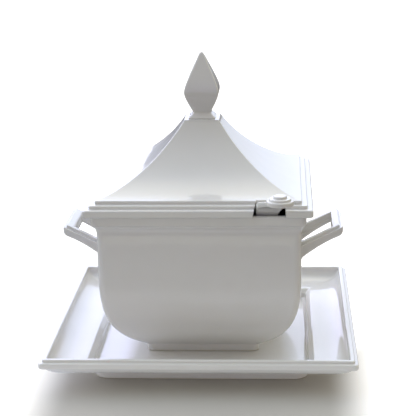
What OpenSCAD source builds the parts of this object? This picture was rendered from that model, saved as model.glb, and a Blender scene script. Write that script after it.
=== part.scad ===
// Square covered soup tureen on a square tray, with a ladle standing in it.
// Origin: centre of the tray's foot, on the table. +Z up, +X to the right,
// the notched edge of the lid faces -Y. Millimetres.

/* [Tray] */
// Outer width of the square tray
tray_w = 300; // [290:1:330]
// Height of the tray's rim above the table
tray_h = 36; // [34:0.5:42]
// Width of the flat well in the middle of the tray
well_w = 200; // [180:1:208]
// Height of the well's floor above the table
well_z = 10.7; // [9:0.1:13]
// Width of the square foot under the tray
tray_foot_w = 208; // [190:1:214]
// Corner radius of the tray's foot
tray_foot_r = 15; // [8:0.5:20]
// Width across the tray's rim, from inside edge to outside edge
tray_rim_w = 8; // [7:0.5:12]

/* [Tureen bowl] */
// Outer width of the bowl's square wall
bowl_w = 195; // [190:0.1:196]
// Outer width across the moulded rim
bowl_rim_w = 204; // [202:0.5:206]
// Height of the rim above the table
bowl_top = 162.45; // [158:0.05:163]
// Thickness of the wall
bowl_wall = 6; // [5:0.5:7]
// Outer width of the bowl's foot
bowl_foot_w = 111.6; // [100:0.2:118]
// Rounding of the bowl's upright corners
bowl_corner_r = 6; // [3:0.5:8]

/* [Lid] */
// Outer width of the lid's bottom slab
lid_w = 216.8; // [212:0.2:222]
// Thickness of the slab
lid_slab = 7.5; // [6:0.5:9]
// Rise of each of the two steps above the slab
lid_step = 3.35; // [2.5:0.05:4]
// Width of each ledge
lid_ledge = 5.4; // [4:0.1:6]
// Height of the little platform at the top of the roof
lid_top = 238; // [225:1:245]
// Width of that platform
lid_top_w = 35; // [30:0.5:40]
// Left end of the ladle notch
notch_x0 = 51.7; // [50:0.1:54]
// Right end of the ladle notch
notch_x1 = 82.4; // [82:0.1:90]
// How far the notch reaches in from the lid's front edge
notch_d = 13; // [12:0.5:16]

/* [Finial] */
// Height of the finial's tip above the table
tip_z = 303; // [290:1:310]
// Greatest width of the finial
finial_w = 34; // [30:0.5:40]
// Width of the neck under it
neck_w = 17.5; // [14:0.5:22]

/* [Handles] */
// Reach of a handle from the middle of the bowl
handle_reach = 139; // [132:0.2:146]
// Length of the hand bar
handle_len = 71.2; // [60:0.2:90]
// Thickness of each arm
arm_t = 9.6; // [8:0.1:12]
// Width of the hand bar, seen from above
bar_w = 10.5; // [9:0.1:13]

/* [Ladle] */
// Angle of the ladle's shaft to the front, seen from above
ladle_yaw = 26; // [24:0.5:28]
// Diameter of the round end piece
disc_d = 25.8; // [22:0.2:26]
// Diameter of the cup at its mouth
cup_d = 76; // [60:1:80]
// Depth of the cup, outside
cup_h = 37; // [30:1:40]
// Greatest width of the strap handle
strap_w = 22.6; // [16:0.1:23]

/* [Hidden] */

glaze = [0.93, 0.92, 0.90];
run_length = 400; // longer than any piece
gap = 0.05;       // clearance between stacked pieces

// Half widths
tray_half = tray_w/2;
well_half = well_w/2;
tray_foot_half = tray_foot_w/2;
bowl_half = bowl_w/2;
bowl_rim_half = bowl_rim_w/2;
bowl_foot_half = bowl_foot_w/2;
lid_half = lid_w/2;

// Lid levels, from the bottom up
lid_z = bowl_top + gap;
slab_z = lid_z + lid_slab;
step1_z = slab_z + lid_step;
step2_z = step1_z + lid_step;

// ------------------------------------------------------------- helpers
// Bezier curve through four control points, in the given number of steps
function bezier(a, b, c, d, steps) = [
    for (i = [0:steps])
        let (t = i/steps, u = 1 - t)
        u*u*u*a + 3*u*u*t*b + 3*u*t*t*c + t*t*t*d
];

// Closed outline, symmetric about the axis, from a half profile
function both_sides(profile) = let (last = len(profile) - 1) concat(
    [[0, profile[0][1]]],
    profile,
    [[0, profile[last][1]]],
    [for (i = [last:-1:0]) [-profile[i][0], profile[i][1]]]);

// Mitred square form: a half profile of [half width, z], listed from bottom to top,
// is run along X and along Y, and what the two runs share is the form.
module run_y(profile) {
    rotate([90, 0, 0])
        linear_extrude(height = run_length, center = true)
            polygon(both_sides(profile));
}

module square_form(profile) {
    intersection() {
        run_y(profile);
        rotate([0, 0, 90]) run_y(profile);
    }
}

module round_square(half, radius) {
    square([2*half - 2*radius, 2*half], center = true);
    square([2*half, 2*half - 2*radius], center = true);
    for (x = [-1, 1], y = [-1, 1])
        translate([x*(half - radius), y*(half - radius)]) circle(r = radius, $fn = 48);
}

module prism(half, radius, bottom, top) {
    translate([0, 0, bottom])
        linear_extrude(height = top - bottom) round_square(half, radius);
}

// ---------------------------------------------------------------- tray
rim_inner = tray_half - tray_rim_w;

// Flange and rim, from the underside of the flange up: [half width, z]
tray_profile = [
    [tray_foot_half - 0.5, 10.5], [110, 14.2], [122, 15.6], [131, 17], [138.5, 20.2],
    [145, 25.5], [tray_half - 3, 27], [tray_half - 0.7, 28], [tray_half, 29.2],
    [tray_half, 31.6], [tray_half - 0.9, 32.9], [tray_half - 3.2, 33.3],
    [tray_half - 3.6, tray_h - 0.9], [tray_half - 4.6, tray_h]
];

// Fillet round the well: [out from the well's edge, up from its floor]
well_fillet = [[0, 0], [2.2, 0.9], [3.7, 3.2], [4.6, 6.5], [6, 9.2], [8.5, 10.4]];

// Well, hollow of the flange and inside of the rim
dish_profile = concat(
    [for (p = well_fillet) [well_half + p[0], well_z + p[1]]],
    bezier([117, 21.9], [128, 22.1], [138.5, 24], [rim_inner - 0.4, tray_h - 4], 6),
    [[rim_inner, tray_h - 1.2], [rim_inner + 0.8, tray_h], [rim_inner + 0.8, tray_h + 9]]);

module tray_outside() {
    intersection() {
        square_form(tray_profile);
        prism(tray_half, 3.5, 0, tray_h + 1);
    }
    // foot
    prism(tray_foot_half, tray_foot_r, 0, 11);
}

module tray() {
    color(glaze) difference() {
        tray_outside();
        square_form(dish_profile);
        // recess inside the foot ring
        prism(tray_foot_half - 11, tray_foot_r - 6, -1, 3.5);
    }
}

// ---------------------------------------------------------------- bowl
base_half = 57.6;       // where the curved wall meets the foot
base_z = 19;
shoulder_z = 144.5;     // where the wall starts to flare into the rim
floor_z = well_z + 16.4; // bowl's inside floor
inner_half = bowl_half - bowl_wall;
mouth_half = bowl_rim_half - bowl_wall;

bowl_outside = concat(
    bezier([base_half, base_z], [86.3, 36.5], [bowl_half, 55], [bowl_half, 100], 14),
    bezier([bowl_half, shoulder_z], [bowl_half + 0.3, 148.6],
           [bowl_half + 1.9, 149.6], [bowl_half + 3.2, 151.6], 4),
    [[bowl_half + 3.3, 152.9], [bowl_rim_half - 0.5, 153.4], [bowl_rim_half, 154.2],
     [bowl_rim_half, bowl_top - 1.2], [bowl_rim_half - 1.2, bowl_top]]);

bowl_inside = concat(
    bezier([46, floor_z], [80, 41], [inner_half, 58], [inner_half, 104], 12),
    [[inner_half, 144], [mouth_half - 0.4, 153.6], [mouth_half, bowl_top - 1],
     [mouth_half + 1, bowl_top], [mouth_half + 1, bowl_top + 9]]);

// Outside profile carried onto the diagonal, less what eases the corner
diagonal = 1.4142;
corner_ease = 0.5857*bowl_corner_r - 0.6;
bowl_diagonal = [for (p = bowl_outside) [p[0]*diagonal - corner_ease, p[1]]];

module bowl() {
    color(glaze) difference() {
        union() {
            // rim
            intersection() {
                square_form(bowl_outside);
                prism(bowl_rim_half, 5, 140, 170);
            }
            // wall, with eased edges where its lower part curves in
            intersection() {
                square_form(bowl_outside);
                prism(bowl_half, bowl_corner_r, 10, 145);
                rotate([0, 0, 45]) square_form(bowl_diagonal);
            }
            // foot ring
            intersection() {
                square_form([[bowl_foot_half - 0.6, well_z + gap], [bowl_foot_half, well_z + 0.8],
                    [base_half, base_z], [base_half, base_z + 2]]);
                prism(58, 7, 0, 30);
            }
        }
        // inside
        intersection() {
            square_form(bowl_inside);
            prism(bowl_rim_half, 9, 20, bowl_top + 5);
        }
        // recess inside the foot ring
        prism(bowl_foot_half - 8, 5, 0, well_z + 3);
    }
}

// ------------------------------------------------------------- handles
// Side view, [x, z]: sloping top, curved underside, rounded outer end
handle_slope = 0.49;
band_reach = handle_reach - 3.4;
opening_half = handle_len/2 - arm_t;

// Height of the sloping top at distance x from the middle of the bowl
function handle_top(x) = 117.3 + (x - 98.9)*handle_slope;

handle_underside = concat([[bowl_half, 100.6]],
    bezier([98.4, 101.2], [108, 108.8], [119, 116.4], [135.2, 123.8], 8));

lower_tier = concat(handle_underside, [
    [137.8, 125.6],
    [handle_reach, 128],
    [handle_reach - 0.1, handle_top(handle_reach) - 3.6],
    [handle_reach - 0.8, handle_top(handle_reach) - 3],
    [bowl_half, handle_top(bowl_half) - 3]
]);

raised_band = [
    [bowl_half, handle_top(bowl_half) - 6],
    [band_reach, handle_top(band_reach) - 6],
    [band_reach, handle_top(band_reach) - 0.8],
    [band_reach - 0.8, handle_top(band_reach - 0.8)],
    [bowl_half, handle_top(bowl_half)]
];

// Side outline as a block, with the opening between the arms cut out
module frame_block(outline, half_length) {
    difference() {
        rotate([90, 0, 0])
            linear_extrude(height = 2*half_length, center = true) polygon(outline);
        translate([bowl_half - 1, -opening_half, 90])
            cube([handle_reach - bar_w - bowl_half + 1, 2*opening_half, 60]);
    }
}

module handle_right() {
    color(glaze) union() {
        frame_block(lower_tier, handle_len/2);
        frame_block(raised_band, handle_len/2 - 3.2);
    }
}

module handle_left() {
    color(glaze) mirror([1, 0, 0]) handle_right();
}

// ----------------------------------------------------------------- lid
step1_half = lid_half - lid_ledge;
roof_half = lid_half - 2*lid_ledge;
flange_half = 93.6;
hollow_half = 87; // inside the flange and under the roof

slab_profile = [
    [lid_half - 1.6, lid_z], [lid_half - 0.5, lid_z + 0.5], [lid_half, lid_z + 1.6],
    [lid_half, slab_z - 1.6], [lid_half - 0.5, slab_z - 0.5], [lid_half - 1.6, slab_z]
];

// Two steps and the hollow-sided roof
roof_profile = concat(
    [[step1_half, slab_z - 1], [step1_half, step1_z - 0.6], [step1_half - 0.6, step1_z],
     [roof_half, step1_z], [roof_half, step2_z - 0.6]],
    bezier([roof_half - 0.6, step2_z], [69.2, 180.9], [35.6, 208.7], [lid_top_w/2, lid_top], 14));

hollow_profile = concat([[hollow_half, lid_z - 20]],
    bezier([hollow_half, lid_z + 3.5], [63, 172.6], [31.5, 200], [10.5, 227.5], 12));

// Ends of the notch: [x from that end, z from the lid's underside]
notch_left = [[-1.4, -30], [-1.2, 0], [-0.3, 1.2], [0.5, 4], [1, 7], [4.6, 20], [8, 40]];
notch_right = [[0, 40], [0, 7], [0.1, 4], [0.5, 1.6], [1.4, 0], [1.6, -30]];

module locating_flange() {
    intersection() {
        difference() {
            square_form([[flange_half - 2.1, lid_z - 7.5], [flange_half, lid_z - 5],
                [flange_half, lid_z + 1]]);
            square_form([[hollow_half, 140], [hollow_half, lid_z + 2]]);
        }
        prism(flange_half, 9, 140, 170);
    }
}

module notch_cuts() {
    notch_w = notch_x1 - notch_x0;
    // notch with flared, rounded ends
    translate([0, notch_d - lid_half, lid_z])
        rotate([90, 0, 0])
            linear_extrude(height = notch_d + 10)
                polygon(concat(
                    [for (p = notch_left) [notch_x0 + p[0], p[1]]],
                    [for (p = notch_right) [notch_x1 + p[0], p[1]]]));
    // pocket under the edge of the roof, where the shaft dips into the bowl
    translate([notch_x0 - 3, -lid_half + notch_d - 1, lid_z - 30])
        cube([notch_w + 3, 11, 41.7]);
    // the flange stops well clear of the ladle
    translate([notch_x0 - 9, -lid_half, lid_z - 30])
        cube([notch_w + 16, 40, 30]);
}

module lid() {
    color(glaze) difference() {
        union() {
            intersection() {
                square_form(slab_profile);
                prism(lid_half, 3, 150, 175);
            }
            square_form(roof_profile);
            locating_flange();
        }
        square_form(hollow_profile);
        notch_cuts();
    }
}

// -------------------------------------------------------------- finial
neck_half = neck_w/2;
finial_half = finial_w/2;

finial_profile = concat(
    // base and neck
    [[13.4, lid_top], [13.3, lid_top + 1], [12.6, lid_top + 2], [10.6, lid_top + 3.8],
     [neck_half + 0.4, lid_top + 5], [neck_half, lid_top + 5.9]],
    // swelling out to the greatest width
    bezier([neck_half + 0.1, lid_top + 6.4], [12.5, 251.5],
           [finial_half - 0.4, 259.5], [finial_half, 264.5], 6),
    // drawing in to the tip
    bezier([finial_half - 0.01, 264.9], [finial_half + 0.2, 270.5],
           [11.5, 281.5], [3.2, tip_z - 3.7], 8),
    [[2.2, tip_z - 1.7], [1.3, tip_z - 0.7], [0.5, tip_z - 0.1], [0.2, tip_z]]);

module finial() {
    color(glaze) square_form(finial_profile);
}

// --------------------------------------------------------------- ladle
// Middle of the end piece, at the top of its lowest tier
disc_x = 77.3;
disc_y = -121.8;
disc_z = 183.6;
disc_r = disc_d/2;

cup_distance = 146; // from the end piece to the cup's middle, seen from above
cup_z = well_z + 16.6;
cup_r = cup_d/2;
cup_top = cup_z + cup_h;
cup_back = cup_distance*cos(ladle_yaw); // the same distance along Y

// Carries a part from the ladle's own frame, where the end piece is at the origin
// and the shaft runs along +X, to its place
module place_ladle() {
    translate([disc_x, disc_y, 0]) rotate([0, 0, 90 + ladle_yaw]) children();
}

// Puts a turned form where the cup is
module turn_at_cup(profile) {
    place_ladle() translate([cup_distance, 0, 0])
        rotate_extrude($fn = 96) polygon(profile);
}

// Profiles of [radius, z]
cup_outside = concat([[0, cup_z]],
    bezier([15, cup_z], [29, cup_z + 1.5], [cup_r - 0.4, cup_z + 15], [cup_r, cup_top - 1.2], 10),
    [[cup_r - 0.7, cup_top]]);

cup_inside = concat([[cup_r - 3.4, cup_top]],
    bezier([cup_r - 4.1, cup_top - 1.2], [cup_r - 4.6, cup_z + 17],
           [26, cup_z + 5.4], [13, cup_z + 4.4], 10),
    [[0, cup_z + 4.4]]);

// End piece in three tiers: [radius, z from the top of the lowest tier]
disc_profile = [
    [0, -4.6], [disc_r - 0.8, -4.6], [disc_r, -3.8], [disc_r, -0.8], [disc_r - 0.8, 0],
    [10.6, 0], [10.4, 1.6], [9.9, 2.1], [6.6, 2.1], [6.3, 3.8], [5.4, 4.4], [0, 4.6]
];

// Strap seen from the right: [y from the end piece, z], back to the cup
strap_top = concat([[-2.7, 180.9]],
    bezier([3.6, 180.6], [13.5, 178.9], [20.2, 176.3], [26.7, 169.2], 7),
    bezier([27.5, 168.3], [34.2, 162.3], [45, 146], [59.3, 124], 7),
    bezier([61.1, 121.2], [71.9, 105.5], [82.7, 88], [cup_back - 30.5, cup_top - 3], 5));

// Underside, from the cup forward to the end piece
strap_under = concat(
    bezier([cup_back - 30.5, cup_top - 16], [79.1, 81.5], [69, 98.5], [58.4, 116.6], 5),
    bezier([56.9, 118.9], [45.6, 136.5], [34.5, 151.2], [27.8, 160.3], 7),
    bezier([26.9, 161.7], [22.5, 168], [15.7, 173], [4.5, 176.2], 7),
    [[-0.9, 178.4]]);

// Strap seen from above, [x, y] from the end piece: waisted there, broad over the rim
strap_half = strap_w/2;
strap_left = [
    [-6, -1], [-9.6, 2], [-13.4, 5.2], [-17.4, 8.4], [-20.4, 11.6], [-21.9, 15], [-22.6, 19],
    [-strap_half - 11.6, 24], [-strap_half - 11.4, 28], [-strap_half - 11.2, 31.5],
    [-strap_half - 11.7, 36], [-strap_half - 13.6, 42], [-strap_half - 17.4, 50]
];
strap_right = [
    [-strap_half - 2.7, 50], [-strap_half + 1.2, 42.5], [-strap_half + 5, 36.5],
    [-strap_half + 6.8, 32], [-strap_half + 8.5, 28.5], [-strap_half + 10.2, 25],
    [0.9, 21], [2.8, 17], [4.9, 12.6], [7.6, 8], [8.8, 3.5], [6, -1]
];

// Slim shaft: [y from the end piece, half width along X]
shaft_stations = [[62, 6.4], [90, 6.2], [cup_back, 7.4]];

// Edge point of the shaft at a station; side is -1 for left, 1 for right
function shaft_edge(station, side) =
    [-station[0]*tan(ladle_yaw) + side*station[1], station[0]];

strap_plan = concat(
    strap_left,
    [for (i = [0:2]) shaft_edge(shaft_stations[i], -1)],
    [for (i = [2:-1:0]) shaft_edge(shaft_stations[i], 1)],
    strap_right);

module strap() {
    intersection() {
        rotate([90, 0, 90])
            linear_extrude(height = 160, center = true) polygon(concat(strap_top, strap_under));
        linear_extrude(height = 200) polygon(strap_plan);
    }
}

module ladle_cup() {
    color(glaze) turn_at_cup(concat(cup_outside, cup_inside));
}

module ladle_handle() {
    color(glaze) union() {
        place_ladle()
            rotate_extrude($fn = 96) polygon([for (p = disc_profile) [p[0], disc_z + p[1]]]);
        // strap, cut off where it meets the cup
        difference() {
            translate([disc_x, disc_y, 0]) strap();
            turn_at_cup(concat(cup_outside, [[0, cup_top]]));
        }
    }
}

tray();
bowl();
handle_left();
handle_right();
lid();
finial();
ladle_cup();
ladle_handle();
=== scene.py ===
import math
import bpy
import bmesh
from mathutils import Vector, Matrix, noise


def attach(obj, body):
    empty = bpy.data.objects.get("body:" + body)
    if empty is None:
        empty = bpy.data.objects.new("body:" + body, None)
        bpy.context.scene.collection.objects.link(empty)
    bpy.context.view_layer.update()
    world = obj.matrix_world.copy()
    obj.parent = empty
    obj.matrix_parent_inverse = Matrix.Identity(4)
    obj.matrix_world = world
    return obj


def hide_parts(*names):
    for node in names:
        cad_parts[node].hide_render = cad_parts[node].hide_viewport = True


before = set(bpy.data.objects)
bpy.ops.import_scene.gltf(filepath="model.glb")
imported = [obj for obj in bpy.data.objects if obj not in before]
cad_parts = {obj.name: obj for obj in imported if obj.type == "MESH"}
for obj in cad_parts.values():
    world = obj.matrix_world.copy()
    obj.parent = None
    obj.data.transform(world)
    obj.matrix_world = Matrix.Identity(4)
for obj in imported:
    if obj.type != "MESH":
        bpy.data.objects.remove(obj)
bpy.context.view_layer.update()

MM = 0.001

# ------------------------------------------------------------------ curves


def bez(a, b, c, d, n):
    out = []
    for i in range(n + 1):
        t = i / n
        u = 1 - t
        out.append(tuple(u**3 * p + 3 * u * u * t * q + 3 * u * t * t * r + t**3 * s for p, q, r, s in zip(a, b, c, d)))
    return out


def eased(points, seg=14.0, support=0.35, longest=3.2):
    """Rounds the corners of a half profile. Each point is (h, z, corner, rad): half width,
    height, rounding of the plan's corners there, and the radius of the glazed edge."""
    pts = [(p[0], p[1], p[2], p[3] if len(p) > 3 else 0.0) for p in points]
    out = [pts[0][:3]]
    for i in range(1, len(pts) - 1):
        p0, p1, p2 = pts[i - 1], pts[i], pts[i + 1]
        a = Vector((p0[0] - p1[0], p0[1] - p1[1]))
        b = Vector((p2[0] - p1[0], p2[1] - p1[1]))
        la, lb = a.length, b.length
        if p1[3] <= 0 or la < 1e-6 or lb < 1e-6:
            out.append(p1[:3])
            continue
        a /= la
        b /= lb
        turn = math.pi - a.angle(b)
        if turn < 0.03:
            out.append(p1[:3])
            continue
        t = min(p1[3] * math.tan(turn / 2), 0.46 * la, 0.46 * lb)
        rad = t / math.tan(turn / 2)
        c = Vector((p1[0], p1[1])) + (a + b).normalized() * (rad / math.cos(turn / 2))
        s = Vector((p1[0], p1[1])) + a * t - c
        e = Vector((p1[0], p1[1])) + b * t - c
        n = max(3, math.ceil(math.degrees(turn) / seg))
        sign = 1 if s.x * e.y - s.y * e.x > 0 else -1
        room_a, room_b = 0.5 * la - t, 0.5 * lb - t
        if room_a > 0.12:
            q = Vector((p1[0], p1[1])) + a * (t + min(support, room_a * 0.6))
            out.append((q.x, q.y, p1[2]))
        for k in range(n + 1):
            ang = sign * turn * k / n
            v = c + Vector((s.x * math.cos(ang) - s.y * math.sin(ang), s.x * math.sin(ang) + s.y * math.cos(ang)))
            out.append((v.x, v.y, p1[2]))
        if room_b > 0.12:
            q = Vector((p1[0], p1[1])) + b * (t + min(support, room_b * 0.6))
            out.append((q.x, q.y, p1[2]))
    out.append(pts[-1][:3])
    dense = [out[0]]
    for p in out[1:]:
        q = dense[-1]
        d = math.hypot(p[0] - q[0], p[1] - q[1])
        if d < 1e-5:
            continue
        n = max(1, math.ceil(d / longest))
        for k in range(1, n + 1):
            f = k / n
            dense.append(tuple(q[j] + (p[j] - q[j]) * f for j in range(3)))
    return dense


def smooth_run(points, n=8):
    """A centripetal curve through 2D or 3D points."""
    P = [Vector(tuple(p) + (0.0,) * (3 - len(p))) for p in points]
    k = len(points[0])
    P = [P[0] * 2 - P[1]] + P + [P[-1] * 2 - P[-2]]
    out = []
    for i in range(1, len(P) - 2):
        p0, p1, p2, p3 = P[i - 1], P[i], P[i + 1], P[i + 2]
        t0 = 0.0
        t1 = t0 + max(1e-6, (p1 - p0).length ** 0.5)
        t2 = t1 + max(1e-6, (p2 - p1).length ** 0.5)
        t3 = t2 + max(1e-6, (p3 - p2).length ** 0.5)
        for j in range(n):
            t = t1 + (t2 - t1) * j / n
            a1 = p0 * ((t1 - t) / (t1 - t0)) + p1 * ((t - t0) / (t1 - t0))
            a2 = p1 * ((t2 - t) / (t2 - t1)) + p2 * ((t - t1) / (t2 - t1))
            a3 = p2 * ((t3 - t) / (t3 - t2)) + p3 * ((t - t2) / (t3 - t2))
            b1 = a1 * ((t2 - t) / (t2 - t0)) + a2 * ((t - t0) / (t2 - t0))
            b2 = a2 * ((t3 - t) / (t3 - t1)) + a3 * ((t - t1) / (t3 - t1))
            out.append(tuple((b1 * ((t2 - t) / (t2 - t1)) + b2 * ((t - t1) / (t2 - t1)))[:k]))
    out.append(tuple(P[-2][:k]))
    return out


# ------------------------------------------------------------------ meshes


def ring(h, z, rc, side=36, arc=8):
    """Square with rounded corners at height z, always with the same number of points."""
    h = max(h, 0.05)
    rc = min(max(rc, 0.02), h * 0.98)
    s = h - rc
    sup = min(0.45, 0.2 * s) / s if s > 1e-6 else 0.1
    ts = [-1.0, -1.0 + sup] + [-1 + sup + (2 - 2 * sup) * i / side for i in range(1, side)] + [1.0 - sup, 1.0]
    pts = []
    for k in range(4):
        ca, sa = math.cos(k * math.pi / 2), math.sin(k * math.pi / 2)
        loc = [(h, t * s) for t in ts]
        loc += [(s + rc * math.cos(j / arc * math.pi / 2), s + rc * math.sin(j / arc * math.pi / 2)) for j in range(1, arc)]
        pts += [(x * ca - y * sa, x * sa + y * ca, z) for x, y in loc]
    return pts


def wobble(p, amp, size, seed):
    v = Vector(p) / size + Vector((seed * 7.31, seed * 3.17, seed * 5.77))
    n = noise.noise_vector(v)
    m = noise.noise_vector(v * 2.3 + Vector((9.1, 4.2, 1.3)))
    return (n + m * 0.35) * amp


def mesh_object(name, verts, faces, smooth=True):
    me = bpy.data.meshes.new(name)
    me.from_pydata([(x * MM, y * MM, z * MM) for x, y, z in verts], [], faces)
    bm = bmesh.new()
    bm.from_mesh(me)
    bmesh.ops.remove_doubles(bm, verts=bm.verts, dist=1e-7)
    bmesh.ops.recalc_face_normals(bm, faces=bm.faces)
    bm.to_mesh(me)
    bm.free()
    for f in me.polygons:
        f.use_smooth = smooth
    me.update()
    o = bpy.data.objects.new(name, me)
    bpy.context.scene.collection.objects.link(o)
    return o


def loft(name, rings, closed=False, shift=None):
    n = len(rings[0])
    verts = [p for r in rings for p in r]
    if shift is not None:
        verts = [tuple(Vector(p) + shift(Vector(p))) for p in verts]
    faces = []
    for i in range(len(rings) - 1):
        for j in range(n):
            a, b = i * n + j, i * n + (j + 1) % n
            faces.append((a, b, b + n, a + n))
    if closed:
        m = (len(rings) - 1) * n
        for j in range(n):
            faces.append((m + j, m + (j + 1) % n, (j + 1) % n, j))
    else:
        faces.append(tuple(reversed(range(n))))
        faces.append(tuple((len(rings) - 1) * n + j for j in range(n)))
    return mesh_object(name, verts, faces)


def lathe(name, profile, at=(0, 0), n=128):
    """Turned form: profile points (r, z) from axis to axis."""
    rings = [[(at[0] + max(r, 0.01) * math.cos(2 * math.pi * k / n), at[1] + max(r, 0.01) * math.sin(2 * math.pi * k / n), z)
              for k in range(n)] for r, z in profile]
    return loft(name, rings)


def run_bool(target, cutter, op):
    m = target.modifiers.new("cut", "BOOLEAN")
    m.operation = op
    m.solver = "EXACT"
    m.object = cutter
    bake_modifiers(target)
    bpy.data.objects.remove(cutter, do_unlink=True)


def bake_modifiers(o):
    dg = bpy.context.evaluated_depsgraph_get()
    dg.update()
    me = bpy.data.meshes.new_from_object(o.evaluated_get(dg), depsgraph=dg)
    o.modifiers.clear()
    old = o.data
    o.data = me
    bpy.data.meshes.remove(old)


# ------------------------------------------------------------------ glaze


def glaze(name, seed, bare_z=None):
    """White glazed ceramic. bare_z is the height, in metres, under which the foot is bare clay."""
    m = bpy.data.materials.new(name)
    m.use_nodes = True
    nt = m.node_tree
    N, L = nt.nodes, nt.links
    N.clear()
    out = N.new("ShaderNodeOutputMaterial")
    bsdf = N.new("ShaderNodeBsdfPrincipled")
    L.new(bsdf.outputs[0], out.inputs["Surface"])
    co = N.new("ShaderNodeTexCoord")
    mp = N.new("ShaderNodeMapping")
    mp.inputs["Location"].default_value = (seed * 1.7, seed * 0.9, seed * 2.3)
    L.new(co.outputs["Object"], mp.inputs["Vector"])

    def tex(scale, detail=2.0, rough=0.5):
        t = N.new("ShaderNodeTexNoise")
        t.inputs["Scale"].default_value = scale
        t.inputs["Detail"].default_value = detail
        t.inputs["Roughness"].default_value = rough
        L.new(mp.outputs[0], t.inputs["Vector"])
        return t.outputs["Fac"]

    def ramp(src, lo, hi, v0=0.0, v1=1.0):
        r = N.new("ShaderNodeMapRange")
        r.interpolation_type = "SMOOTHSTEP"
        r.inputs["From Min"].default_value = lo
        r.inputs["From Max"].default_value = hi
        r.inputs["To Min"].default_value = v0
        r.inputs["To Max"].default_value = v1
        L.new(src, r.inputs["Value"])
        return r.outputs[0]

    def mix(fac, a, b):
        x = N.new("ShaderNodeMix")
        x.data_type = "RGBA"
        for sock, val in ((x.inputs[6], a), (x.inputs[7], b)):
            if isinstance(val, tuple):
                sock.default_value = val + (1.0,)
            else:
                L.new(val, sock)
        if isinstance(fac, float):
            x.inputs[0].default_value = fac
        else:
            L.new(fac, x.inputs[0])
        return x.outputs[2]

    def math2(op, a, b=None):
        x = N.new("ShaderNodeMath")
        x.operation = op
        for i, v in enumerate((a, b)):
            if v is None:
                continue
            if isinstance(v, (int, float)):
                x.inputs[i].default_value = v
            else:
                L.new(v, x.inputs[i])
        return x.outputs[0]

    # body colour: broad clouds in a warm off-white, a little finer mottle
    cloud = ramp(tex(9.0, 3.0), 0.3, 0.7)
    mott = ramp(tex(70.0, 4.0, 0.6), 0.35, 0.75)
    col = mix(cloud, (0.800, 0.786, 0.760), (0.826, 0.815, 0.794))
    col = mix(math2("MULTIPLY", mott, 0.25), col, (0.790, 0.775, 0.745))
    # glaze runs thin over edges, warmer there; the hollows are darkened toward grey by occlusion, which is painted
    # shade
    edge = N.new("ShaderNodeAmbientOcclusion")
    edge.inside = True
    edge.samples = 6
    edge.inputs["Distance"].default_value = 0.0016
    thin = ramp(edge.outputs["AO"], 0.35, 0.9, 1.0, 0.0)
    # painted shade: occlusion darkens the hollows and creases toward grey
    hollow = N.new("ShaderNodeAmbientOcclusion")
    hollow.samples = 6
    hollow.inputs["Distance"].default_value = 0.006
    hollow_shade = ramp(hollow.outputs["AO"], 0.35, 0.95, 1.0, 0.0)
    col = mix(math2("MULTIPLY", thin, 0.45), col, (0.835, 0.805, 0.755))
    col = mix(math2("MULTIPLY", hollow_shade, 0.40), col, (0.735, 0.735, 0.720))
    # a few pin specks
    vor = N.new("ShaderNodeTexVoronoi")
    vor.inputs["Scale"].default_value = 95.0
    L.new(mp.outputs[0], vor.inputs["Vector"])
    speck = ramp(vor.outputs["Distance"], 0.02, 0.045, 1.0, 0.0)
    rare = ramp(tex(31.0, 1.0), 0.60, 0.66)
    speck = math2("MULTIPLY", speck, rare)
    col = mix(math2("MULTIPLY", speck, 0.35), col, (0.60, 0.55, 0.48))
    # surface: slow waviness, orange peel, pinholes
    wave = tex(24.0, 1.5)
    peel = tex(240.0, 2.0)
    fine = tex(900.0, 2.0)
    b1 = N.new("ShaderNodeBump")
    b1.inputs["Strength"].default_value = 1.0
    b1.inputs["Distance"].default_value = 0.00022
    L.new(wave, b1.inputs["Height"])
    b2 = N.new("ShaderNodeBump")
    b2.inputs["Strength"].default_value = 1.0
    b2.inputs["Distance"].default_value = 0.000008
    L.new(peel, b2.inputs["Height"])
    L.new(b1.outputs[0], b2.inputs["Normal"])
    b3 = N.new("ShaderNodeBump")
    b3.invert = True
    b3.inputs["Strength"].default_value = 1.0
    b3.inputs["Distance"].default_value = 0.00006
    L.new(speck, b3.inputs["Height"])
    L.new(b2.outputs[0], b3.inputs["Normal"])
    L.new(b3.outputs[0], bsdf.inputs["Normal"])
    L.new(b3.outputs[0], bsdf.inputs["Coat Normal"])
    rough = ramp(fine, 0.3, 0.7, 0.30, 0.36)
    coat_rough = ramp(cloud, 0.0, 1.0, 0.025, 0.055)
    coat = 1.0
    if bare_z is not None:
        sep = N.new("ShaderNodeSeparateXYZ")
        L.new(co.outputs["Object"], sep.inputs[0])
        nz = math2("MULTIPLY", tex(160.0, 3.0), 0.0010)
        h = math2("SUBTRACT", sep.outputs["Z"], nz)
        bare = ramp(h, bare_z - 0.0004, bare_z + 0.0001, 1.0, 0.0)
        grain = ramp(tex(1500.0, 2.0), 0.3, 0.7)
        clay = mix(grain, (0.70, 0.655, 0.585), (0.78, 0.74, 0.675))
        col = mix(bare, col, clay)
        coat = math2("SUBTRACT", 1.0, bare)
        rough = math2("ADD", rough, math2("MULTIPLY", bare, 0.5))
    L.new(col, bsdf.inputs["Base Color"])
    L.new(rough, bsdf.inputs["Roughness"])
    L.new(coat_rough, bsdf.inputs["Coat Roughness"])
    if isinstance(coat, float):
        bsdf.inputs["Coat Weight"].default_value = coat
    else:
        L.new(coat, bsdf.inputs["Coat Weight"])
    bsdf.inputs["Coat IOR"].default_value = 1.52
    bsdf.inputs["Specular IOR Level"].default_value = 0.25
    bsdf.inputs["Subsurface Weight"].default_value = 0.06
    bsdf.inputs["Subsurface Radius"].default_value = (1.0, 0.75, 0.5)
    bsdf.inputs["Subsurface Scale"].default_value = 0.002
    return m


G_TRAY = glaze("glaze_tray", 1.0, bare_z=0.0009)
G_BOWL = glaze("glaze_bowl", 2.0, bare_z=0.0117)
G_LID = glaze("glaze_lid", 3.0)
G_LADLE = glaze("glaze_ladle", 4.0)


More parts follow.
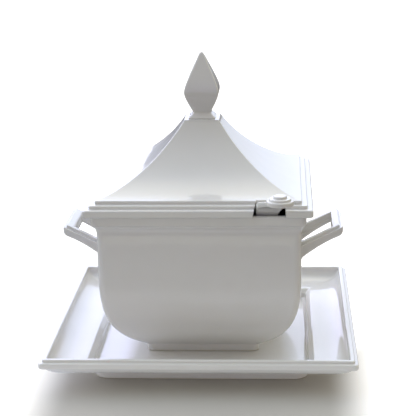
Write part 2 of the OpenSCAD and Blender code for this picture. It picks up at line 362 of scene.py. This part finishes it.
def finish_piece(o, body, nodes, mat):
    o.data.materials.clear()
    o.data.materials.append(mat)
    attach(o, body)
    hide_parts(*nodes)
    return o


# ------------------------------------------------------------------ sizes, in millimetres
TR = 149.86     # half width of the tray
WELL = 10.7     # height of the well's floor
BR = 97.5       # half width of the bowl's wall
RR = 102.0      # half width of the bowl's rim
TOP = 162.45    # top of the bowl's rim
LR = 108.4      # half width of the lid's slab
LZ = 162.5      # underside of the slab
SZ = LZ + 7.5   # top of the slab
Z1 = SZ + 3.35  # first ledge
Z2 = Z1 + 3.35  # second ledge, where the roof starts
LT = 238.0      # platform under the finial

# ------------------------------------------------------------------ tray
under = [(x, z, max(4.0, 15.0 - (x - 104) * 0.45)) for x, z in bez((105.5, 13.0), (117, 16.0), (134, 14.0), (144.6, 25.2), 14)]
flange = [(x, z, 1.6 + (x - 108) * 0.02) for x, z in bez((141.7, 31.6), (138.5, 24.2), (128.5, 22.0), (114.5, 21.95), 20)]
tray_profile = eased(
    [(0.4, 3.5, 0.1), (92.6, 3.5, 8.5, 2.2), (93.2, 0.0, 8.6, 1.1), (104.0, 0.0, 15.0, 1.4), (104.2, 9.6, 15.0, 3.5)]
    + under
    + [(146.2, 27.0, 4.0, 1.6), (TR, 27.3, 4.0, 2.7), (TR, 33.0, 4.0, 1.5), (146.6, 33.35, 3.0, 0.45), (146.35, 36.0, 2.8, 1.25),
       (142.15, 36.0, 1.5, 1.2), (141.9, 33.0, 1.5, 0.6)]
    + flange
    + [(109.0, 21.6, 1.8, 2.6), (104.6, 17.4, 2.2, 2.4), (103.6, 13.0, 2.6, 1.4), (101.6, WELL, 3.0, 2.2), (96, WELL, 3.0), (0.4, WELL, 0.1)],
    longest=3.6,
)


def tray_shift(p):
    keep = 1.0 - min(1.0, max(0.0, (92.0 - max(abs(p.x), abs(p.y))) / 20.0)) if p.z < 14 else 1.0
    edge = min(1.0, max(0.0, p.z / 6.0))
    return wobble(p, 0.17, 52.0, 1.0) * keep * edge


tray = loft("tray_glazed", [ring(h, z, rc, side=44) for h, z, rc in tray_profile], shift=tray_shift)
finish_piece(tray, "tray", ["tray"], G_TRAY)

# ------------------------------------------------------------------ bowl
wall = [(x, z, 7.0) for x, z in bez((58.6, 19.6), (86.3, 36.5), (BR, 55), (BR, 100), 34)]
cove = [(x, z, 5.4) for x, z in bez((BR, 144.5), (BR + 0.3, 148.4), (BR + 1.8, 149.6), (BR + 3.1, 151.6), 8)]
inner = [(x, z, 9.0) for x, z in bez((BR - 6, 104), (BR - 6, 58), (80, 41), (46, WELL + 16.4), 26)]
bowl_profile = eased(
    [(0.4, WELL + 3.0, 0.1), (47.4, WELL + 3.0, 5.0, 1.8), (47.8, WELL + 0.05, 5.0, 0.9), (55.7, WELL + 0.05, 7.0, 1.0), (57.0, 18.4, 7.0, 1.6)]
    + wall
    + [(BR, 136, 6.4)]
    + cove
    + [(BR + 3.3, 153.0, 5.0, 0.5), (RR, 153.5, 5.0, 0.9), (RR, TOP, 5.0, 1.5), (96.2, TOP, 6.5, 1.6), (95.5, 153.0, 8.0, 3.0), (BR - 6, 144.0, 9.0, 4.0)]
    + inner
    + [(0.4, WELL + 16.4, 0.1)],
    longest=3.4,
)


def bowl_shift(p):
    k = min(1.0, max(0.0, (p.z - 17.0) / 14.0)) * min(1.0, max(0.0, (TOP - 1.0 - p.z) / 8.0))
    return wobble(p, 0.20, 60.0, 2.0) * k


bowl = loft("bowl_glazed", [ring(h, z, rc, side=40) for h, z, rc in bowl_profile], shift=bowl_shift)
finish_piece(bowl, "tureen", ["bowl"], G_BOWL)

# ------------------------------------------------------------------ handles
REACH, HALF, SL = 139.0, 35.6, 0.49


def top_at(x):
    return 117.3 + (x - 98.9) * SL


BELOW = smooth_run([(96.0, 98.9), (98.4, 101.2), (108.0, 108.5), (118.0, 115.1), (127.0, 120.2), (133.2, 123.0), (136.3, 124.6), (138.2, 126.2), (139.3, 127.8)], 10)


def below(x):
    if x <= BELOW[0][0]:
        return BELOW[0][1]
    for (x0, z0), (x1, z1) in zip(BELOW, BELOW[1:]):
        if x <= x1:
            return z0 + (z1 - z0) * (x - x0) / max(1e-6, x1 - x0)
    return BELOW[-1][1]


def handle(name, side):
    # cross-section: (d inward from the outer face 0..1, kind, drop); kind t hangs from the top slope, u stands on the underside
    W = 9.6
    sec = eased([
        (0.0, 10.0, 0), (0.0, 3.15, 0, 0.9), (2.9, 3.0, 0, 0.5), (3.15, 0.0, 0, 1.0), (W - 0.1, 0.0, 0, 1.3), (W, 10.0, 0)
    ], longest=2.0)
    top_pts = [(a, b) for a, b, _ in sec]
    low = eased([(W, 6.0, 0), (W, 0.0, 0, 1.9), (0.0, 0.0, 0, 1.9), (0.0, 6.0, 0)], longest=1.6)
    low_pts = [(a, b) for a, b, _ in low]
    # path stations along the outer perimeter: (x fraction, corner handling)
    RO = 3.0
    stations = []
    x0 = BR - 0.6
    xe = REACH - RO
    n = 26
    for i in range(n + 1):
        stations.append(("arm", -1, x0 + (xe - x0) * (1 - (1 - i / n) ** 1.0)))
    for k in range(1, 8):
        stations.append(("cor", -1, k / 8 * math.pi / 2))
    m = 30
    for i in range(m + 1):
        stations.append(("bar", 0, -1 + 2 * i / m))
    for k in range(1, 8):
        stations.append(("cor", 1, k / 8 * math.pi / 2))
    for i in range(n + 1):
        stations.append(("arm", 1, xe - (xe - x0) * (i / n)))

    def plan(st, d):
        kind, sgn, v = st
        r = max(RO - d, 0.0)
        cx, cy = REACH - RO, HALF - RO
        bx = d * 10.5 / 9.6
        if kind == "arm":
            y = HALF - d
            if d > RO and v > REACH - bx:
                v2 = REACH - bx
            else:
                v2 = v
            lim = REACH - bx - r
            f = (v - x0) / (xe - x0)
            return x0 + (lim - x0) * f, sgn * y
        if kind == "bar":
            ylim = HALF - d - r
            return REACH - bx, v * ylim
        a = v if sgn > 0 else v
        # corner arc between arm and bar; inside the radius it collapses to a mitre with a small rounding
        if sgn < 0:
            ax, ay = math.sin(a), -math.cos(a)
        else:
            ax, ay = math.cos(a), math.sin(a)
        px = REACH - bx - r + r * ax
        py = (HALF - d - r) * sgn + r * ay
        return px, py

    rings = []
    for st in stations:
        loop = []
        for d, drop in top_pts:
            x, y = plan(st, d)
            loop.append((x, y, d, "t", drop))
        for d, up in low_pts:
            x, y = plan(st, d)
            loop.append((x, y, d, "u", up))
        pts = []
        for x, y, d, kind, v in loop:
            # slip fillet where the arm meets the wall
            g = max(0.0, 1 - (x - BR) / 3.2)
            flare = 2.2 * (1 - math.sqrt(max(0.0, 1 - min(1.0, g) ** 2)))
            t, b = top_at(x), below(x)
            mid = b + 0.5 * (t - 3.15 - b)
            if kind == "t":
                zz = mid + 0.5 if v > 6 else max(mid + 0.5, t - v + (flare if v < 2 else 0))
            else:
                zz = mid - 0.5 if v > 5.9 else min(mid - 0.5, b + v - (flare if v < 2 else 0))
            yy = y
            if st[0] == "arm":
                mid = (HALF - W / 2) * st[1]
                yy = y + (1 if y > mid else -1) * flare * min(1.0, abs(y - mid) / (W / 2))
            pts.append((side * x, yy, zz))
        rings.append(pts)
    o = loft(name, rings, shift=lambda p: wobble(p, 0.10, 30.0, 5.0 + side) * min(1.0, max(0.0, (abs(p.x) - 98.5) / 8.0)))
    return o


finish_piece(handle("handle_right_glazed", 1), "tureen", ["handle_right"], G_BOWL)
finish_piece(handle("handle_left_glazed", -1), "tureen", ["handle_left"], G_BOWL)

# ------------------------------------------------------------------ lid
roof = [(x, z, 1.3) for x, z in bez((96.9, Z2), (69.2, 180.9), (35.6, 208.7), (17.4, 237.5), 44)]
hollow = [(x, z, 4.0) for x, z in bez((10.5, 227.5), (31.5, 200), (63, 172.6), (87, LZ + 3.5), 30)]
lid_profile = eased(
    [(0.4, 227.5, 0.1)]
    + hollow
    + [(86.9, LZ - 7.45, 8.5, 1.2), (91.2, LZ - 7.45, 9.0, 1.4), (93.5, LZ - 5.0, 9.0, 1.0), (93.55, LZ, 9.0, 0.8), (LR, LZ, 3.0, 1.7), (LR, SZ, 3.0, 1.8),
       (LR - 5.4, SZ + 0.05, 2.6, 0.55), (LR - 5.4, Z1, 2.4, 1.15), (97.7, Z1 + 0.05, 1.8, 0.5), (97.55, Z2, 1.7, 0.9)]
    + roof[1:]
    + [(17.3, LT, 1.6, 0.8), (0.4, LT, 0.1)],
    longest=3.2,
)


def lid_shift(p):
    k = min(1.0, max(0.0, (p.z - LZ - 1.0) / 8.0)) * min(1.0, max(0.0, (LT - p.z) / 10.0))
    return wobble(p, 0.20, 55.0, 3.0) * k


lid = loft("lid_glazed", [ring(h, z, rc, side=40) for h, z, rc in lid_profile], shift=lid_shift)


def prism_y(name, outline, y0, y1):
    n = len(outline)
    verts = [(x, y0, z) for x, z in outline] + [(x, y1, z) for x, z in outline]
    faces = [tuple(range(n)), tuple(reversed(range(n, 2 * n)))] + [(i, i + n, (i + 1) % n + n, (i + 1) % n) for i in range(n)]
    return mesh_object(name, verts, faces, smooth=False)


NX0, NX1, ND = 51.7, 82.4, 13.0
left_edge = smooth_run([(NX0 - 1.3, LZ - 3.0), (NX0 - 1.0, LZ + 0.1), (NX0 - 0.2, LZ + 1.6), (NX0 + 0.6, LZ + 4.5), (NX0 + 1.3, LZ + 8), (NX0 + 4.6, LZ + 20)], 4)
right_edge = smooth_run([(NX1, LZ + 20), (NX1, LZ + 8), (NX1 + 0.1, LZ + 4.2), (NX1 + 0.5, LZ + 1.7), (NX1 + 1.3, LZ + 0.1), (NX1 + 1.5, LZ - 3.0)], 4)
run_bool(lid, prism_y("cutter", left_edge + right_edge, -LR - 6, -LR + ND), "DIFFERENCE")
run_bool(lid, prism_y("cutter2", [(NX0 - 3, LZ - 20), (NX1, LZ - 20), (NX1, LZ + 11.7), (NX0 - 3, LZ + 11.7)], -LR + ND - 1.013, -LR + ND + 10), "DIFFERENCE")
run_bool(lid, prism_y("cutter3", [(NX0 - 9, LZ - 20), (NX1 + 7, LZ - 20), (NX1 + 7, LZ + 0.02), (NX0 - 9, LZ + 0.02)], -LR + 1, -LR + 41), "DIFFERENCE")


def soften(o, inside, width, segments=3):
    """Rounds the sharp edges of a mesh that lie in a region, as glaze would."""
    bm = bmesh.new()
    bm.from_mesh(o.data)
    bmesh.ops.dissolve_degenerate(bm, dist=1e-7, edges=bm.edges)
    es = [e for e in bm.edges if len(e.link_faces) == 2 and e.calc_face_angle(0) > 0.6 and all(inside(v.co / MM) for v in e.verts)]
    if es:
        bmesh.ops.bevel(bm, geom=es, offset=width * MM, offset_type="OFFSET", segments=segments, profile=0.5, affect="EDGES", clamp_overlap=True, loop_slide=False)
    for f in bm.faces:
        f.smooth = True
    bm.to_mesh(o.data)
    bm.free()


def notch_zone(c):
    return c.y < -LR + ND + 13 and NX0 - 10 < c.x < NX1 + 8 and c.z < 190


soften(lid, notch_zone, 0.7)
finish_piece(lid, "lid", ["lid"], G_LID)

# ------------------------------------------------------------------ finial
body_low = [(x, z, 1.5) for x, z in bez((8.85, LT + 6.4), (12.5, 251.5), (16.6, 259.5), (17.0, 264.5), 16)]
body_up = [(x, z, 1.4) for x, z in bez((17.0, 264.5), (17.2, 270.5), (11.5, 281.5), (3.2, 299.3), 26)]
finial_profile = eased(
    [(0.4, LT + 0.02, 0.1), (13.35, LT + 0.02, 2.0, 0.5), (13.25, LT + 1.2, 2.0, 0.7), (12.3, LT + 2.3, 2.0, 1.2), (9.3, LT + 4.9, 1.8, 2.0), (8.8, LT + 6.0, 1.6, 0.5)]
    + body_low
    + body_up[1:]
    + [(2.35, 301.1, 1.3), (1.75, 302.0, 1.1), (1.05, 302.6, 0.8), (0.35, 302.85, 0.3), (0.05, 302.87, 0.04)],
    longest=1.5,
)
finial = loft("finial_glazed", [ring(h, z, min(rc, h * 0.8), side=14, arc=6) for h, z, rc in finial_profile],
              shift=lambda p: wobble(p, 0.10, 26.0, 4.0) * min(1.0, max(0.0, (p.z - LT - 2) / 10.0)) * min(1.0, max(0.0, (301.0 - p.z) / 8.0)))
finish_piece(finial, "lid", ["finial"], G_LID)

# ------------------------------------------------------------------ ladle
DX, DY, DZ, YAW, CUP_S, CUP_Z, CUP_R, CUP_H = 77.3, -121.8, 183.6, math.radians(26.0), 146.0, WELL + 16.6, 38.0, 37.0
back = Vector((-math.sin(YAW), math.cos(YAW), 0.0))
wide = Vector((math.cos(YAW), math.sin(YAW), 0.0))
cup_x, cup_y = DX + back.x * CUP_S, DY + back.y * CUP_S
LEAN, CUP_Y = math.tan(YAW), CUP_S * math.cos(YAW)
STRAP_END = CUP_Y - 30.5

cup_out = [(x, z, 0) for x, z in bez((15.0, CUP_Z), (29.0, CUP_Z + 1.5), (CUP_R - 0.4, CUP_Z + 15), (CUP_R, CUP_Z + CUP_H - 2.0), 22)]
cup_in = [(x, z, 0) for x, z in bez((CUP_R - 4.1, CUP_Z + CUP_H - 2.2), (CUP_R - 4.6, CUP_Z + 17), (26.0, CUP_Z + 5.4), (13.0, CUP_Z + 4.4), 20)]
cup_profile = eased([(0.02, CUP_Z + 0.03, 0), (13.0, CUP_Z + 0.03, 0, 2.0)] + cup_out[1:] + [(CUP_R - 0.4, CUP_Z + CUP_H, 0, 1.3), (CUP_R - 3.6, CUP_Z + CUP_H, 0, 1.3)] + cup_in + [(0.02, CUP_Z + 4.4, 0)], longest=2.5)
cup = lathe("ladle_cup_glazed", [(r, z) for r, z, _ in cup_profile], at=(cup_x, cup_y))
finish_piece(cup, "ladle", ["ladle_cup"], G_LADLE)

end_profile = eased(
    [(0.02, DZ - 4.6, 0), (12.85, DZ - 4.6, 0, 1.3), (12.85, DZ, 0, 1.1), (10.5, DZ, 0, 0.5), (10.2, DZ + 2.1, 0, 0.9), (6.5, DZ + 2.15, 0, 0.5), (6.3, DZ + 4.5, 0, 1.5), (0.02, DZ + 4.7, 0)],
    longest=1.2,
)
end = lathe("ladle_handle_glazed", [(r, z) for r, z, _ in end_profile], at=(DX, DY), n=112)

# strap: each section runs straight across, parallel to x; pairs are (distance back from the end piece, z) on the top and the underside
strap_parts = [
    ((-2.7, 180.9), (3.6, 180.6), (13.5, 178.9), (20.2, 176.3), (26.7, 169.2), (26.9, 161.7), (22.5, 168.0), (15.7, 173.0), (4.5, 176.2), 26),
    (None, (27.5, 168.3), (34.2, 162.3), (45.0, 146.0), (59.3, 124.0), (56.9, 118.9), (45.6, 136.5), (34.5, 151.2), (27.8, 160.3), 30),
    (None, (61.1, 121.2), (71.9, 105.5), (82.7, 88.0), (STRAP_END, CUP_Z + CUP_H - 3), (STRAP_END, CUP_Z + CUP_H - 16), (79.1, 81.5), (69.0, 98.5), (58.4, 116.6), 24),
]
strap_pairs = []
for first, a, b, c, d, e, f, g, h, n in strap_parts:
    over = bez(a, b, c, d, n)
    below_ = list(reversed(bez(e, f, g, h, n)))
    strap_pairs += list(zip(over, below_))
strap_pairs = [(o, u) for o, u in strap_pairs if (o[0] + u[0]) / 2 > 1.0]
HW = 11.3
plan_left = [(-6, -1), (-9.6, 2), (-13.4, 5.2), (-17.4, 8.4), (-20.4, 11.6), (-21.9, 15), (-22.6, 19), (-HW - 11.6, 24), (-HW - 11.4, 28), (-HW - 11.2, 31.5), (-HW - 11.7, 36), (-HW - 13.6, 42), (-HW - 17.4, 50),
             (-62 * LEAN - 6.4, 62), (-90 * LEAN - 6.2, 90), (-CUP_Y * LEAN - 7.4, CUP_Y)]
plan_right = [(6, -1), (8.8, 3.5), (7.6, 8), (4.9, 12.6), (2.8, 17), (0.9, 21), (-HW + 10.2, 25), (-HW + 8.5, 28.5), (-HW + 6.8, 32), (-HW + 5, 36.5), (-HW + 1.2, 42.5), (-HW - 2.7, 50),
              (-62 * LEAN + 6.4, 62), (-90 * LEAN + 6.2, 90), (-CUP_Y * LEAN + 7.4, CUP_Y)]
left_run = smooth_run([(y, x) for x, y in plan_left], 6)
right_run = smooth_run([(y, x) for x, y in plan_right], 6)


def edge_at(run, s):
    for (a, b), (c, d) in zip(run, run[1:]):
        if s <= c:
            return b + (d - b) * max(0.0, (s - a)) / max(1e-6, c - a)
    return run[-1][1]


strap_rings = []
for (s1, z1), (s0, z0) in strap_pairs:
    cs, cz = (s0 + s1) / 2, (z0 + z1) / 2
    up = Vector((s1 - s0, z1 - z0))
    t = up.length / 2
    up.normalize()
    xr, xl = edge_at(right_run, cs) - 0.08, edge_at(left_run, cs) + 0.08
    xm, w = (xr + xl) / 2, (xr - xl) / 2
    loop = []
    e = min(t * 0.98, 1.6)
    m = 6
    corners = [(w - e, t - e, 0), (-(w - e), t - e, 1), (-(w - e), -(t - e), 2), (w - e, -(t - e), 3)]
    for ci, (cx, cy, q) in enumerate(corners):
        for j in range(m + 1):
            a = (q + j / m) * math.pi / 2
            loop.append((cx + e * math.cos(a), cy + e * math.sin(a)))
        nx, ny = corners[(ci + 1) % 4][0], corners[(ci + 1) % 4][1]
        ea = (q + 1) * math.pi / 2
        sx, sy = loop[-1]
        tx, ty = nx + e * math.cos(ea), ny + e * math.sin(ea)
        k = 8 if q in (0, 2) else 2
        for j in range(1, k):
            loop.append((sx + (tx - sx) * j / k, sy + (ty - sy) * j / k))
    strap_rings.append([(DX + xm + a, DY + cs + up.x * b, cz + up.y * b) for a, b in loop])
strap = loft("strap", strap_rings)
run_bool(end, strap, "UNION")
for f in end.data.polygons:
    f.use_smooth = True


def under_end(c):
    r = math.hypot(c.x - DX, c.y - DY)
    return r < 13.6 and DZ - 9 < c.z < DZ - 0.2


soften(end, under_end, 0.5, 2)
finish_piece(end, "ladle", ["ladle_handle"], G_LADLE)

# ------------------------------------------------------------------ floor
fl = bpy.data.meshes.new("floor")
bm = bmesh.new()
bmesh.ops.create_grid(bm, x_segments=8, y_segments=8, size=6.0)
bm.to_mesh(fl)
bm.free()
floor = bpy.data.objects.new("floor", fl)
floor.location = (0, 0, -0.0002)
bpy.context.scene.collection.objects.link(floor)
FLOOR_SEEN = 0.9
FLOOR_CAST = (0.40, 0.39, 0.375)
fm = bpy.data.materials.new("floor_pale")
fm.use_nodes = True
fb = fm.node_tree.nodes["Principled BSDF"]
fb.inputs["Base Color"].default_value = (0.86, 0.86, 0.86, 1)
fb.inputs["Roughness"].default_value = 0.9
fb.inputs["Specular IOR Level"].default_value = 0.1
fb.inputs["Emission Strength"].default_value = 1.0
nt = fm.node_tree


def fnode(op, a, b=None, c=None):
    x = nt.nodes.new("ShaderNodeMath")
    x.operation = op
    for i, v in enumerate((a, b, c)):
        if v is None:
            continue
        if isinstance(v, (int, float)):
            x.inputs[i].default_value = v
        else:
            nt.links.new(v, x.inputs[i])
    return x.outputs[0]


def fstep(src, lo, hi):
    r = nt.nodes.new("ShaderNodeMapRange")
    r.interpolation_type = "SMOOTHSTEP"
    r.inputs["From Min"].default_value = lo
    r.inputs["From Max"].default_value = hi
    nt.links.new(src, r.inputs["Value"])
    return r.outputs[0]


lp = nt.nodes.new("ShaderNodeLightPath")
fco = nt.nodes.new("ShaderNodeTexCoord")
fse = nt.nodes.new("ShaderNodeSeparateXYZ")
nt.links.new(fco.outputs["Object"], fse.inputs[0])
# the floor glows white to the camera alone away from the tray; near the tray and just in front of it the glow is off
away_x = fstep(fnode("ABSOLUTE", fse.outputs["X"]), 0.120, 0.185)
away_y = fstep(fse.outputs["Y"], -0.10, 0.02)
away_front = fstep(fnode("MULTIPLY", fse.outputs["Y"], -1.0), 0.215, 0.33)
away = fnode("MAXIMUM", fnode("MAXIMUM", away_x, away_y), away_front)
seen = fnode("MULTIPLY", fnode("MULTIPLY", away, lp.outputs["Is Camera Ray"]), FLOOR_SEEN)
seen.node.name = "floor_seen"
# the floor gives back its full light near the tray and little further off, like a small plinth in a dark room; the
# camera sees it glow white further off and, near the tray, a darker warm grey that is painted shade
far = fnode("MAXIMUM", fstep(fnode("ABSOLUTE", fse.outputs["X"]), 0.19, 0.26), fstep(fnode("ABSOLUTE", fse.outputs["Y"]), 0.23, 0.34))
dim = fnode("MULTIPLY", far, fnode("MULTIPLY_ADD", lp.outputs["Is Camera Ray"], -1.0, 1.0))
pale = nt.nodes.new("ShaderNodeMix")
pale.data_type = "RGBA"
# painted shade: to the camera the floor is a darker warm grey than the 0.86 it gives back as light, for the shadow
# under and in front of the tray
near = nt.nodes.new("ShaderNodeMix")
near.data_type = "RGBA"
near.inputs[6].default_value = (0.86, 0.86, 0.86, 1)
near.inputs[7].default_value = (0.575, 0.550, 0.510, 1)
nt.links.new(lp.outputs["Is Camera Ray"], near.inputs[0])
nt.links.new(near.outputs[2], pale.inputs[6])
pale.inputs[7].default_value = (0.16, 0.155, 0.15, 1)
nt.links.new(dim, pale.inputs[0])
nt.links.new(pale.outputs[2], fb.inputs["Base Color"])
# a little light inside the tray's foot ring, which the ring shuts off from everything else, so that the recess is not black from below
under_foot = fnode("SUBTRACT", 1.0, fstep(fnode("MAXIMUM", fnode("ABSOLUTE", fse.outputs["X"]), fnode("ABSOLUTE", fse.outputs["Y"])), 0.0960, 0.0990))
cast = fnode("MULTIPLY", under_foot, fnode("MULTIPLY_ADD", lp.outputs["Is Camera Ray"], -1.0, 1.0))
fcol = nt.nodes.new("ShaderNodeVectorMath")
fcol.operation = "SCALE"
fcol.name = "floor_cast"
fcol.inputs[0].default_value = FLOOR_CAST
nt.links.new(cast, fcol.inputs["Scale"])
fadd = nt.nodes.new("ShaderNodeVectorMath")
fadd.operation = "ADD"
nt.links.new(fcol.outputs[0], fadd.inputs[0])
comb = nt.nodes.new("ShaderNodeCombineXYZ")
for k in range(3):
    nt.links.new(seen, comb.inputs[k])
nt.links.new(comb.outputs[0], fadd.inputs[1])
nt.links.new(fadd.outputs[0], fb.inputs["Emission Color"])
# seen from below, the floor is clear, so that the undersides can be looked at
geo = nt.nodes.new("ShaderNodeNewGeometry")
clear = nt.nodes.new("ShaderNodeBsdfTransparent")
two = nt.nodes.new("ShaderNodeMixShader")
below_cam = fnode("MULTIPLY", geo.outputs["Backfacing"], lp.outputs["Is Camera Ray"])
nt.links.new(below_cam, two.inputs[0])
nt.links.new(fb.outputs[0], two.inputs[1])
nt.links.new(clear.outputs[0], two.inputs[2])
for n in nt.nodes:
    if n.bl_idname == "ShaderNodeOutputMaterial":
        nt.links.new(two.outputs[0], n.inputs["Surface"])
fl.materials.append(fm)

# ------------------------------------------------------------------ light: a tent of broad soft panels, strongest behind and at the sides
world = bpy.data.worlds.new("tent")
bpy.context.scene.world = world
world.use_nodes = True
wt = world.node_tree
WN, WL = wt.nodes, wt.links
WN.clear()
wo = WN.new("ShaderNodeOutputWorld")
bg = WN.new("ShaderNodeBackground")
WL.new(bg.outputs[0], wo.inputs["Surface"])
wc = WN.new("ShaderNodeTexCoord")
# azimuth (0 is the front, 90 the right), elevation, full within, none beyond (degrees), colour
PANELS = [
    (-92, 12, 15, 50, (0.800, 0.790, 0.660)),
    (92, 12, 15, 50, (0.360, 0.220, 0.110)),
    (-90, 48, 15, 50, (0.300, 0.480, 0.900)),
    (90, 48, 15, 50, (0.241, 0.348, 0.389)),
    (-136, 12, 15, 50, (0.900, 0.830, 0.870)),
    (180, 12, 15, 50, (0.500, 0.610, 0.900)),
    (180, 45, 15, 50, (0.595, 0.653, 0.901)),
    (-150, 20, 5, 28, (0.000, 0.000, 0.455)),
    (0, 8, 8, 34, (0.000, 0.000, 0.350)),
    (180, 58, 6, 26, (0.960, 0.890, 0.560)),
]
AMBIENT = (0.378, 0.344, 0.235)
total = WN.new("ShaderNodeCombineXYZ")
total.name = "ambient"
for k in range(3):
    total.inputs[k].default_value = AMBIENT[k]
total = total.outputs[0]
for idx, (az, el, inner_r, outer_r, colour) in enumerate(PANELS):
    a, e = math.radians(az), math.radians(el)
    dot = WN.new("ShaderNodeVectorMath")
    dot.operation = "DOT_PRODUCT"
    WL.new(wc.outputs["Generated"], dot.inputs[0])
    dot.inputs[1].default_value = (math.sin(a) * math.cos(e), -math.cos(a) * math.cos(e), math.sin(e))
    r = WN.new("ShaderNodeMapRange")
    r.interpolation_type = "SMOOTHSTEP"
    r.inputs["From Min"].default_value = math.cos(math.radians(outer_r))
    r.inputs["From Max"].default_value = math.cos(math.radians(inner_r))
    WL.new(dot.outputs["Value"], r.inputs["Value"])
    sc = WN.new("ShaderNodeVectorMath")
    sc.operation = "SCALE"
    sc.name = "panel_%02d" % idx
    sc.inputs[0].default_value = colour
    WL.new(r.outputs[0], sc.inputs["Scale"])
    ad = WN.new("ShaderNodeVectorMath")
    ad.operation = "ADD"
    WL.new(total, ad.inputs[0])
    WL.new(sc.outputs[0], ad.inputs[1])
    total = ad.outputs[0]
# the camera itself sees a plain white backdrop in every direction
wlp = WN.new("ShaderNodeLightPath")
plain = WN.new("ShaderNodeMix")
plain.data_type = "RGBA"
WL.new(wlp.outputs["Is Camera Ray"], plain.inputs["Factor"])
for sock in plain.inputs:
    if sock.name == "A" and sock.type == "RGBA":
        WL.new(total, sock)
for sock in plain.inputs:
    if sock.name == "B" and sock.type == "RGBA":
        sock.default_value = (1.0, 1.0, 1.0, 1.0)
for sock in plain.outputs:
    if sock.name == "Result" and sock.type == "RGBA":
        WL.new(sock, bg.inputs["Color"])

# a small reflector card lying low in front of the tureen, outside the picture
CARD = (0.039, 0.041, 0.032)
ld = bpy.data.lights.new("card", "AREA")
ld.shape = "RECTANGLE"
ld.size, ld.size_y = 0.30, 0.06
ld.energy = 1.0
ld.color = CARD
card = bpy.data.objects.new("card", ld)
card.location = (0.0, -0.40, 0.075)
card.rotation_euler = (math.radians(96), 0, 0)
card.visible_camera = False
bpy.context.scene.collection.objects.link(card)

# ------------------------------------------------------------------ camera
cd = bpy.data.cameras.new("camera")
cam = bpy.data.objects.new("camera", cd)
bpy.context.scene.collection.objects.link(cam)
turn = math.radians(0.35)
yaw, pitch, roll = math.radians(3.02) + turn, math.radians(15.11), math.radians(-0.97)
fwd = Vector((-math.sin(yaw) * math.cos(pitch), math.cos(yaw) * math.cos(pitch), -math.sin(pitch)))
right = Vector((math.cos(yaw), math.sin(yaw), 0))
up = right.cross(fwd)
rx = right * math.cos(roll) + up * math.sin(roll)
ux = -right * math.sin(roll) + up * math.cos(roll)
pos = Matrix.Rotation(turn, 3, "Z") @ Vector((0.07337, -1.33885, 0.50561))
cam.matrix_world = Matrix(((rx.x, ux.x, -fwd.x, pos.x), (rx.y, ux.y, -fwd.y, pos.y), (rx.z, ux.z, -fwd.z, pos.z), (0, 0, 0, 1)))
cd.sensor_width = 36.0
cd.lens = 118.57
cd.shift_x = 0.0029
cd.clip_start = 0.05
cd.clip_end = 50.0
bpy.context.scene.camera = cam
bpy.context.scene.view_settings.view_transform = "Standard"
bpy.context.scene.view_settings.look = "None"
bpy.context.scene.view_settings.exposure = 0.0
